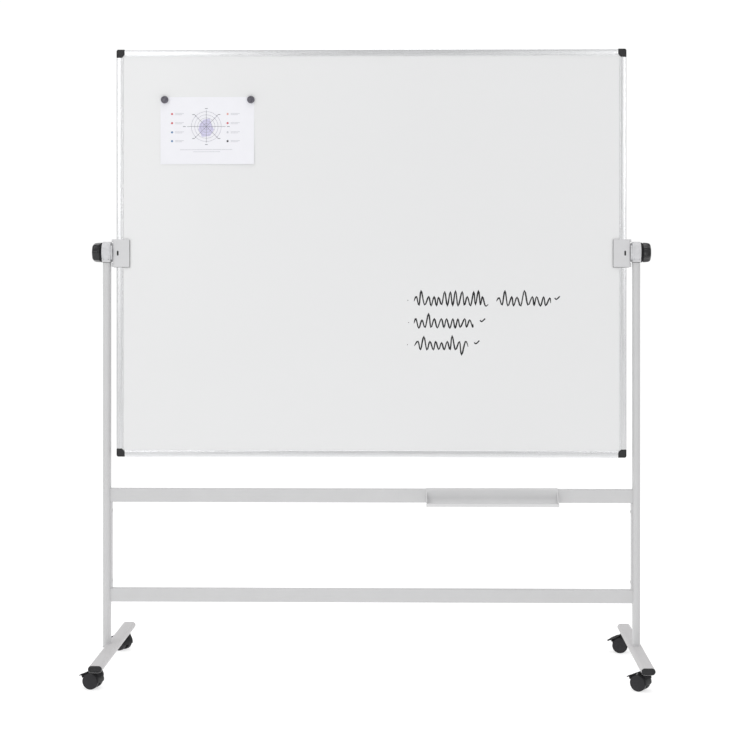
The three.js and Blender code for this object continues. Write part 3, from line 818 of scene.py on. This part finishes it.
def make_knob(side, sign):
    """A round base ring in matt black rubber, darker than the grip partly as painted shade at the knob's
    foot, and a lobed grip that tapers to a domed end with a cap set into it.
    """
    base = mm_box("right_knob")[0].x - 0.3
    rows = [
        (4.9, 26.0, 0.0), (6.6, 26.2, 0.0), (7.0, 27.6, 0.9), (8.0, 28.2, 1.1), (13.0, 27.9, 1.1),
        (18.0, 27.4, 1.1), (22.5, 26.7, 1.1), (25.5, 25.6, 1.0), (27.6, 23.8, 0.75), (29.0, 21.2, 0.5),
        (29.6, 18.6, 0.3), (29.9, 16.6, 0.1), (29.9, 15.4, 0.0), (29.3, 15.0, 0.0), (29.2, 14.4, 0.0),
        (29.8, 13.8, 0.0), (30.0, 9.0, 0.0),
    ]
    lobes, count = 7, 126
    rings = []
    for x, r, depth in rows:
        ring = []
        for i in range(count):
            a = 2 * math.pi * i / count
            wave = math.cos(lobes * a)
            radius = r + depth * (1.15 * wave - 0.35 * (1 - abs(wave)))
            ring.append((base + x, radius * math.cos(a), radius * math.sin(a)))
        rings.append(ring)
    grip = solid(f"{side}_knob_grip", loft(rings), cut=[rod(PIVOT_BORE, base - 1, base + 23, "X")])
    # The base ring's matt rubber reads darker than the glossy grip: the groove beside it is real, and the
    # rest of the dark band is painted shade.
    foot = [(PIVOT_BORE, 0.0), (25, 0.0), (28, 0.3), (28.9, 1.2), (28.9, 4.4), (28.2, 5.4), (26.6, 6.2)]
    foot += [(PIVOT_BORE, 6.2), (PIVOT_BORE, 0.0)]
    ring = solid(f"{side}_knob_base", lathe([(r, base + x) for r, x in foot], 96, "X"))
    place = at_pivot(sign)
    for piece, material in ((grip, KNOB), (ring, SHADE_RUBBER)):
        finish_piece(piece, f"{side}_knob", material, [f"{side}_knob"], place)


def make_magnet(side):
    """A round magnet in a plastic cap, with a softened rim round a slightly dished top."""
    low, high = mm_box(f"{side}_magnet")
    r = (high.x - low.x) / 2
    h = high.y - low.y
    profile = [
        (0, 0), (r - 0.8, 0), (r, 0.8), (r, 3.2), (r - 0.25, 4.6), (r - 0.9, 6.2), (r - 2.0, 7.3),
        (r - 3.2, h), (r - 4.0, h - 0.1), (r - 4.6, h - 0.9), (4, h - 0.65), (0, h - 0.6),
    ]
    magnet = solid(f"{side}_round_magnet", lathe(profile, 56, "Y"))
    x, _, z = mm_centre(f"{side}_magnet")
    place = shift(x, high.y, z) @ half_turn(-1)
    finish_piece(magnet, f"{side}_magnet", MAGNET, [f"{side}_magnet"], place)


# -------------------- Pen tray
def make_tray():
    """One folded sheet with a hook over the bar, a curved trough, a rolled lip and two end walls."""
    low, high = mm_box("pen_tray")
    t = SHEET
    face = 10.3
    top = high.z - t
    shelf = low.z
    front = low.y
    curve = 20.0
    cy, cz = -face - curve, shelf + curve
    lip = 10.0
    r = 4.0
    end_wall = 2.5
    back = [(face + t, top - 13.6), (face + t, top + t - 1.2), (face + t - 1.2, top + t)]
    back += [(-face - t + 1.2, top + t), (-face - t, top + t - 1.2)]
    inside = arc(cy, cz, curve - t, 0, -90, 18) + arc(front + r, shelf + r, r - t, -90, -180, 8)
    rolled = arc(front + t / 2, shelf + lip - t / 2, t / 2, 0, 180, 6)
    outside = arc(front + r, shelf + r, r, 180, 270, 8) + arc(cy, cz, curve, -90, 0, 18)
    section = back + inside + rolled + outside + [(-face, top), (face, top), (face, top - 13.6)]
    sheet = prism(section, in_yz, low.x, high.x)
    wall = [(-face - t / 2, top - 6), (cy - 8, shelf + lip + 4), (cy - 16, shelf + lip)]
    wall += [(front + t / 2, shelf + lip)]
    wall += arc(front + r, shelf + r, r - t / 2, 180, 270, 8) + arc(cy, cz, curve - t / 2, -90, 0, 18)
    walls = [prism(wall, in_yz, x, x + end_wall) for x in (low.x, high.x - end_wall)]
    tray = solid("pen_tray_sheet", sheet, bevel=0.3, union=walls)
    finish_piece(tray, "pen_tray", TRAY, ["pen_tray"])


# -------------------- Casters, modelled once about the swivel axis, with the axle along Y
PEDAL_SLOPE = math.radians(24)
PEDAL_LEVER = 14.0
PEDAL_CLEAR = 24.8
PEDAL_THICK = 2.2
PEDAL_RISE = PEDAL_CLEAR + PEDAL_THICK / 2
PEDAL_PIN = Vector((
    -TRAIL - math.sin(PEDAL_SLOPE) * PEDAL_RISE + math.cos(PEDAL_SLOPE) * PEDAL_LEVER,
    0,
    WHEEL_R + math.cos(PEDAL_SLOPE) * PEDAL_RISE + math.sin(PEDAL_SLOPE) * PEDAL_LEVER,
))


def axle_ring(points, y):
    """Points about the axle, as a ring at one place along it."""
    return [(x - TRAIL, y, z + WHEEL_R) for x, z in points]


def hood_model():
    """The moulded hood: a crowned guard, the web between the wheels, the stem's collar and the ears."""
    inner, outer, half = 24.5, 26.4, WHEEL_HALF
    low_end, high_end = -12, 86
    slices = 14
    rings = []
    for k in range(slices + 1):
        y = half * (2 * k / slices - 1)
        edge = abs(y) / half
        crown = outer - 0.9 * edge**5
        low_angle = low_end + 5 * edge**4
        guard = arc(0, 0, crown, low_angle, high_end, 30) + arc(0, 0, inner, high_end, low_angle, 30)
        rings.append(axle_ring(guard, y))
    web = arc(0, 0, inner + 1, low_end, high_end, 24) + arc(0, 0, 11, 130, 320, 18)
    web_solid = loft([axle_ring(web, y) for y in (-6.3, 6.3)])
    collar = lathe([
        (0, 38), (15.5, 38), (15.2, 43), (13.6, 47), (12.4, 50), (12, 51.5), (11.7, 52.6), (10.9, 53),
        (0, 53),
    ])
    space = lathe([(0, -half - 1), (inner, -half - 1), (inner, half + 1), (0, half + 1)], 72, "Y")
    space.transform(shift(-TRAIL, 0, WHEEL_R))
    neck = taken(solid("neck_model", collar, cut=[space]))
    pin_x, pin_z = PEDAL_PIN.x, PEDAL_PIN.z
    ear = [(pin_x - 2.3, 48), (pin_x + 4, 48), (pin_x + 3.4, pin_z)]
    ear += arc(pin_x + 0.2, pin_z, 2.5, 10, 170, 8)
    ears = [prism(ear, in_xz, y - 1.5, y + 1.5) for y in (-13.7, 13.7)]
    pin = rod(1.3, -14, 14, "Y", (pin_x, 0, pin_z), 20)
    axle = rod(3.0, -17.5, 17.5, "Y", (-TRAIL, 0, WHEEL_R), 24)
    hood = solid("hood_model", loft(rings), bevel=0.5)
    settle(carve(hood, [neck, web_solid, *ears, pin, axle], "UNION"))
    settle(carve(hood, [rod(4.4, 28, 55, "Z")], "DIFFERENCE"))
    return hood


def wheel_model():
    """A dished wheel: a smooth domed outer face with a shallow ring, and a grooved hub side."""
    r, w = WHEEL_R, WHEEL_HALF
    profile = [
        (0, 18), (3.4, 18), (3.4, 6.8), (8.4, 6.8), (9, 7.4), (10.4, 11.8), (17.2, 11.8),
        (18.6, 7.4), (19.2, 6.8), (r - 1.4, 6.8), (r - 0.4, 7.3), (r, 8.4), (r, w - 3.8),
        (r - 0.3, w - 2.4), (r - 1.2, w - 1.4), (r - 2.4, w - 1.05), (r - 3.1, w - 1.3),
        (r - 3.8, w - 1.1), (15.5, w - 0.6), (9, w - 0.2), (6.4, w - 0.1), (6.0, w - 0.35),
        (5.4, w - 0.35), (5.0, w - 0.1), (0, w),
    ]
    return solid("wheel_model", lathe(profile, 72, "Y"))


def pedal_model():
    """The brake pedal: a shaped plate with a ribbed tab, filled below down to near the wheels."""
    plan = [
        (0, 11.6), (-5, 11.6), (-8, 13.6), (-10, 17.6), (-14, 19), (-30, 19), (-33, 17), (-36, 11),
        (-39, 9), (-43, 8.2), (-44.6, 7),
    ]
    outline = plan + [(x, -y) for x, y in reversed(plan)]
    half = PEDAL_THICK / 2
    plate = prism(outline, in_xy, -half, half)
    filling = block((-32.5, -18.6, -11), (-PEDAL_LEVER, 18.6, 0))
    clear = lathe([(0, -30), (WHEEL_R + 1.8, -30), (WHEEL_R + 1.8, 30), (0, 30)], 96, "Y")
    clear.transform(shift(-PEDAL_LEVER, 0, -PEDAL_RISE))
    below = taken(solid("pedal_filling", filling, bevel=0.8, cut=[clear]))
    ribs = []
    for i in range(3):
        rib = prism(oval(12, 1.3, 6), in_xy, half - 0.6, half + 0.6)
        rib.transform(shift(-42.4 + 2.7 * i) @ Matrix.Rotation(math.pi / 2, 4, "Z"))
        ribs.append(rib)
    knuckle = rod(2.6, -11.6, 11.6, "Y", steps=28)
    pedal = solid("pedal_model", plate, bevel=0.6, segments=3)
    settle(carve(pedal, [knuckle, below, *ribs], "UNION"))
    settle(carve(pedal, [rod(1.8, -13, 13, "Y", steps=24)], "DIFFERENCE"))
    pedal.data.transform(shift(*PEDAL_PIN) @ Matrix.Rotation(-PEDAL_SLOPE, 4, "Y"))
    return pedal


def stem_model():
    """A plain pin below a flat collar, and a thread above it that goes up into the leg."""
    thread = LEG_LOW.z - 0.3
    pitch = 1.5
    profile = [(0, 28.5), (3.4, 28.5), (4, 29.5), (4, 53.4), (9, 53.4), (9, thread), (4.9, thread)]
    for i in range(10):
        z = thread + 0.9 + pitch * i
        profile += [(5.0, z + 0.3), (4.3, z + 1.0)]
    top = LEG_Z + 7
    profile += [(4.3, top - 0.8), (3.6, top), (0, top)]
    return solid("stem_model", lathe(profile, 32))


def make_casters():
    hood, wheel, pedal, stem = hood_model(), wheel_model(), pedal_model(), stem_model()
    for end in ENDS:
        for side in SIDES:
            label = f"{end}_{side}_caster"
            brake = f"{label}_brake_pedal"
            place = caster_place(label)
            piece = copy_of(stem, f"{label}_threaded_stem")
            finish_piece(piece, "stand", BOLT, [f"{label}_stem"], place)
            piece = copy_of(hood, f"{label}_guard")
            finish_piece(piece, label, HOOD, [f"{label}_hood"], place)
            piece = copy_of(pedal, f"{label}_pedal")
            finish_piece(piece, brake, PEDAL, [brake], place)
            for k, way in ((1, -1), (2, 1)):
                node = f"{label}_wheel_{k}"
                axle = shift(-TRAIL, 0, WHEEL_R) @ half_turn(way)
                piece = copy_of(wheel, f"{label}_tread_{k}")
                finish_piece(piece, node, WHEEL, [node], place @ axle)
    for model in (hood, wheel, pedal, stem):
        discard(model)


# -------------------- Paper chart and marker strokes
PAPER_LOW = (-620.0, 1489.0)
PAPER_HIGH = (-343.5, 1687.0)
PAPER_THICK = 0.16
CHART = (-484.8, 1600.0)
KEY_COLUMNS = [(-577, 26), (-413, 27)]
KEY_ROWS = (1637, 1610, 1583, 1557)


def paper_lift(x, z):
    """How far the sheet stands off the board: it bows out below its magnets, most at one corner."""
    down = (PAPER_HIGH[1] - z) / (PAPER_HIGH[1] - PAPER_LOW[1])
    across = (x - PAPER_LOW[0]) / (PAPER_HIGH[0] - PAPER_LOW[0])
    return 2.2 * max(0.0, down - 0.15) ** 2 * (0.6 + 1.2 * across**3)


def on_paper(x, z, height):
    return (x, PANEL_Y - 0.12 - paper_lift(x, z) - height, z)


def make_paper():
    """A thin closed sheet, gridded so that it can bow."""
    across, down = 28, 20
    bm = bmesh.new()
    layers = []
    for height in (0.0, PAPER_THICK):
        rows = []
        for j in range(down + 1):
            z = PAPER_LOW[1] + (PAPER_HIGH[1] - PAPER_LOW[1]) * j / down
            xs = [PAPER_LOW[0] + (PAPER_HIGH[0] - PAPER_LOW[0]) * i / across for i in range(across + 1)]
            rows.append([bm.verts.new(on_paper(x, z, height)) for x in xs])
        layers.append(rows)
    back, front = layers
    for j in range(down):
        for i in range(across):
            bm.faces.new((front[j][i], front[j][i + 1], front[j + 1][i + 1], front[j + 1][i]))
            bm.faces.new((back[j][i], back[j + 1][i], back[j + 1][i + 1], back[j][i + 1]))
    rim = [(0, i) for i in range(across)] + [(j, across) for j in range(down)]
    rim += [(down, i) for i in range(across, 0, -1)] + [(j, 0) for j in range(down, 0, -1)]
    for (j0, i0), (j1, i1) in zip(rim, rim[1:] + rim[:1]):
        bm.faces.new((back[j0][i0], back[j1][i1], front[j1][i1], front[j0][i0]))
    sheet = mesh_object("paper_chart_sheet", bm)
    finish_piece(sheet, "board", PAPER)


def stroke(bm, path, width, lay, closed=False, thick=0.05):
    """A thin ribbon of ink along a path of (x, z). width is a number or a list, one for each point."""
    n = len(path)
    widths = [width] * n if isinstance(width, (int, float)) else width
    rings = []
    for i, (x, z) in enumerate(path):
        before = path[i - 1] if closed or i else path[i]
        after = path[(i + 1) % n] if closed or i < n - 1 else path[i]
        dx, dz = after[0] - before[0], after[1] - before[1]
        length = math.hypot(dx, dz) or 1.0
        ox, oz = -dz / length * widths[i] / 2, dx / length * widths[i] / 2
        a, b = (x + ox, z + oz), (x - ox, z - oz)
        rings.append([lay(*a, 0.0), lay(*b, 0.0), lay(*b, thick), lay(*a, thick)])
    loft(rings, closed, bm)


def patch(bm, outline, lay, thick=0.03):
    loft([[lay(x, z, 0.0) for x, z in outline], [lay(x, z, thick) for x, z in outline]], False, bm)


def straight(x0, z0, x1, z1, step=6.0):
    parts = max(1, int(math.hypot(x1 - x0, z1 - z0) / step))
    return [(x0 + (x1 - x0) * i / parts, z0 + (z1 - z0) * i / parts) for i in range(parts + 1)]


def circle(cx, cz, r, steps=48):
    return arc(cx, cz, r, 0, 360 * (steps - 1) / steps, steps - 1)


def printed(name, color, draw, layer):
    """One colour of the print, as ink just proud of the paper."""
    bm = bmesh.new()
    draw(bm, lambda x, z, height: on_paper(x, z, 0.18 + 0.05 * layer + height))
    finish_piece(mesh_object(name, bm), "board", ink(name + "_ink", color, 0.75))


def chart_fill(bm, lay):
    """The eight-cornered area in the middle of the chart."""
    reach = [24, 17, 26, 22, 21, 25, 33, 30]
    patch(bm, [around(*CHART, r, -22.5 + 45 * k) for k, r in enumerate(reach)], lay)


def chart_rings(bm, lay):
    for r in (44, 34.5, 25.5, 17, 9):
        stroke(bm, circle(*CHART, r), 0.8, lay, True)


def chart_spokes(bm, lay):
    """Spokes of three lengths, with a bar beyond each one where a label would be."""
    for k in range(8):
        reach = 57 if k % 4 == 0 else (48 if k % 2 == 0 else 45)
        end = around(*CHART, reach, 45 * k)
        stroke(bm, straight(*CHART, *end), 0.9, lay)
        if k % 2:
            patch(bm, circle(*end, 1.5, 12), lay)
        x = around(*CHART, reach + 8, 45 * k)[0]
        z = around(*CHART, reach + 5, 45 * k)[1]
        stroke(bm, straight(x - 4, z, x + 4, z), 1.5, lay)


def legend_bars(bm, lay):
    """Plain bars where the key and the footnote would have their words."""
    for z in KEY_ROWS:
        for x0, length in KEY_COLUMNS:
            stroke(bm, straight(x0, z + 1.6, x0 + length, z + 1.6), 1.5, lay)
            stroke(bm, straight(x0, z - 1.8, x0 + length * 0.8, z - 1.8), 1.5, lay)
    stroke(bm, straight(-562, 1531.5, -408, 1532.5), 1.4, lay)
    stroke(bm, straight(-524, 1525.5, -444, 1526), 1.4, lay)


def legend_dots(rows):
    """Draws the key's dots of one colour, each given as x and the number of its row."""

    def draw(bm, lay):
        for x, row in rows:
            patch(bm, circle(x, KEY_ROWS[row], 3.2, 20), lay)

    return draw


def make_print():
    printed("chart_lavender_area", (0.62, 0.6, 0.78), chart_fill, 0)
    printed("chart_rings", (0.36, 0.35, 0.42), chart_rings, 1)
    printed("chart_spokes", (0.16, 0.16, 0.2), chart_spokes, 2)
    printed("chart_key_bars", (0.6, 0.6, 0.64), legend_bars, 0)
    colors = {
        "red": ((0.6, 0.12, 0.14), [(-586, 0), (-586, 1), (-422, 1)]),
        "blue": ((0.1, 0.22, 0.4), [(-586, 2), (-586, 3)]),
        "amber": ((0.78, 0.42, 0.36), [(-422, 0)]),
        "grey": ((0.6, 0.6, 0.64), [(-422, 2)]),
        "black": ((0.05, 0.05, 0.06), [(-422, 3)]),
    }
    for name, (color, rows) in colors.items():
        printed(f"chart_{name}_dots", color, legend_dots(rows), 0)


def between(a, b, c, d, t):
    """The Catmull-Rom value a part t of the way from b to c."""
    square = 2 * a - 5 * b + 4 * c - d
    cube = 3 * b - a - 3 * c + d
    return 0.5 * (2 * b + (c - a) * t + square * t * t + cube * t**3)


def smooth_path(points, step=4):
    """A smooth curve through the points, with step pieces between each two."""
    made = []
    padded = [points[0]] + points + [points[-1]]
    for four in zip(padded, padded[1:], padded[2:], padded[3:]):
        for k in range(step):
            made.append(tuple(between(*values, k / step) for values in zip(*four)))
    made.append(points[-1])
    return made


def scribble(rng, x0, x1, base, rise):
    """A wavy line of uneven ups and downs that says nothing."""
    points = [(x0, base + 0.3 * rise)]
    x = x0
    up = True
    while x < x1 - 10:
        x += rng.uniform(6.5, 11.0)
        lean = rng.uniform(-1.5, 3.0)
        height = rise * rng.choice([0.52, 0.56, 0.6, 0.6, 0.92, 0.98])
        drop = rise * rng.choice([0, 0, 0.02, 0.03, 0.04, 0.06, 0.08, -0.3])
        points.append((x + (lean if up else 0), base + (height if up else drop)))
        up = not up
    points.append((x1, base + rng.uniform(0.1, 0.3) * rise))
    return smooth_path(points)


def make_marker():
    """Rows of generic marker scribble, each with a dot before it and a tick after it."""
    rng = random.Random(512)
    # Each row: its base line, the tallest stroke, where its scribbles start and end, its tick, its dot
    rows = [
        (1071.5, 47, [(127, 345), (369, 528)], 540, 109),
        (1006, 48, [(127, 300)], 321, 111),
        (941, 45, [(128, 286)], 304, 108),
    ]
    bm = bmesh.new()

    def lay(x, z, height):
        return (x, PANEL_Y - 0.02 - height, z)

    for base, rise, words, tick, dot in rows:
        for x0, x1 in words:
            path = scribble(rng, x0, x1, base, rise)
            n = len(path)
            taper = [min(1.0, 0.35 + 0.25 * min(i, n - 1 - i)) for i in range(n)]
            widths = [4.1 * t * (1 + 0.14 * math.sin(i * 0.7)) for i, t in enumerate(taper)]
            stroke(bm, path, widths, lay)
        mark = smooth_path([(tick, base + 24), (tick + 5, base + 20), (tick + 15, base + 29)])
        stroke(bm, mark, 3.8, lay)
        patch(bm, circle(dot, base + 17, 1.3, 12), lay)
    finish_piece(mesh_object("marker_scribble", bm), "board", MARKER)


# -------------------- Everything
for node, material in {"front_panel": FACE, "rear_panel": FACE, "board_core": HONEYCOMB}.items():
    mesh = frame["nodes"][node].data
    mesh.materials.clear()
    mesh.materials.append(material)

for side, sign in SIDES.items():
    make_post(side, sign)
    make_leg(side)
    for end, way in ENDS.items():
        make_leg_cap(side, end, way)
    make_end_plate(side, sign)
    make_housing(side, sign)
    make_friction_pad(side, sign)
    make_bracket(side, sign)
    make_pivot_bolt(side, sign)
    make_knob(side, sign)
    make_magnet(side)
for level in ("upper", "lower"):
    make_crossbar(level)
make_rails()
make_corner_caps()
make_tray()
make_casters()
make_paper()
make_print()
make_marker()


# -------------------- Floor, light and camera
FLOOR_HALF = 60.0
FLOOR_COLOR = (0.55, 0.55, 0.55)

# Softboxes: name, place, the point it faces, size in metres, and power in watts
SOFTBOXES = [
    ("overhead", (0.0, -0.4, 5.0), (0, 0, 0), (4.0, 3.0), 64),
    ("key", (-3.6, -3.4, 3.6), (0, 0, 1.0), (2.4, 2.4), 34),
    ("left_strip", (-1.75, -5.65, 1.98), (0, 0, 1.25), (1.05, 1.6), 11.5),
    ("right_strip", (1.92, -5.55, 2.0), (0, 0, 1.25), (0.9, 1.4), 10.5),
]

# The world's strength against how far a direction points to the back
WORLD_RAMP = {"From Min": 0.2, "From Max": 0.95, "To Min": 0.62, "To Max": 1.02}

CAMERA_AT = (0.1375, -5.2488, 1.2344)
CAMERA_TURN = (math.pi / 2, 0, 0.0188)
CAMERA_LENS = 85.54
CAMERA_SHIFT = (-0.0121, -0.1658)


def make_floor():
    """A pale floor that glows a little, more so towards the back."""
    bm = bmesh.new()
    corners = [(-1, -1), (1, -1), (1, 1), (-1, 1)]
    bm.faces.new([bm.verts.new((x * FLOOR_HALF, y * FLOOR_HALF, 0)) for x, y in corners])
    floor = mesh_object("studio_floor", bm)
    made = Surface("pale_floor", FLOOR_COLOR, 0.9, Emission_Color=(1, 1, 1, 1), Specular_IOR_Level=0.1)
    made.tone(made.noise(900, 2), 0.004)
    split = made.node("ShaderNodeSeparateXYZ", Vector=made.place)
    glow = made.ranged(split.outputs["Y"], 0.3, 0.66, (-7.0, -1.6))
    made.tree.links.new(glow, made.shader.inputs["Emission Strength"])
    floor.data.materials.append(made.material)


def area_light(name, at, aim, size, power):
    light = bpy.data.lights.new(name, "AREA")
    light.shape = "RECTANGLE"
    light.size, light.size_y = size
    light.energy = power
    obj = linked(name, light)
    obj.location = at
    obj.rotation_euler = (Vector(aim) - Vector(at)).to_track_quat("-Z", "Y").to_euler()


def make_light():
    """A studio that is white behind the object and greyer in front of it, with four softboxes."""
    world = bpy.data.worlds.new("studio")
    world.use_nodes = True
    tree = world.node_tree
    coord = tree.nodes.new("ShaderNodeTexCoord")
    split = tree.nodes.new("ShaderNodeSeparateXYZ")
    tree.links.new(coord.outputs["Generated"], split.inputs[0])
    ramp = tree.nodes.new("ShaderNodeMapRange")
    ramp.interpolation_type = "SMOOTHSTEP"
    tree.links.new(split.outputs["Y"], ramp.inputs["Value"])
    for socket, value in WORLD_RAMP.items():
        ramp.inputs[socket].default_value = value
    tree.links.new(ramp.outputs["Result"], tree.nodes["Background"].inputs["Strength"])
    tree.nodes["Background"].inputs["Color"].default_value = (1, 1, 1, 1)
    bpy.context.scene.world = world
    for softbox in SOFTBOXES:
        area_light(*softbox)
    bpy.context.scene.view_settings.view_transform = "Standard"


def make_camera():
    camera = linked("camera", bpy.data.cameras.new("camera"))
    camera.data.sensor_width = 36
    camera.data.lens = CAMERA_LENS
    camera.data.shift_x, camera.data.shift_y = CAMERA_SHIFT
    camera.data.clip_end = 200
    camera.location = CAMERA_AT
    camera.rotation_euler = CAMERA_TURN
    bpy.context.scene.camera = camera


make_floor()
make_light()
make_camera()
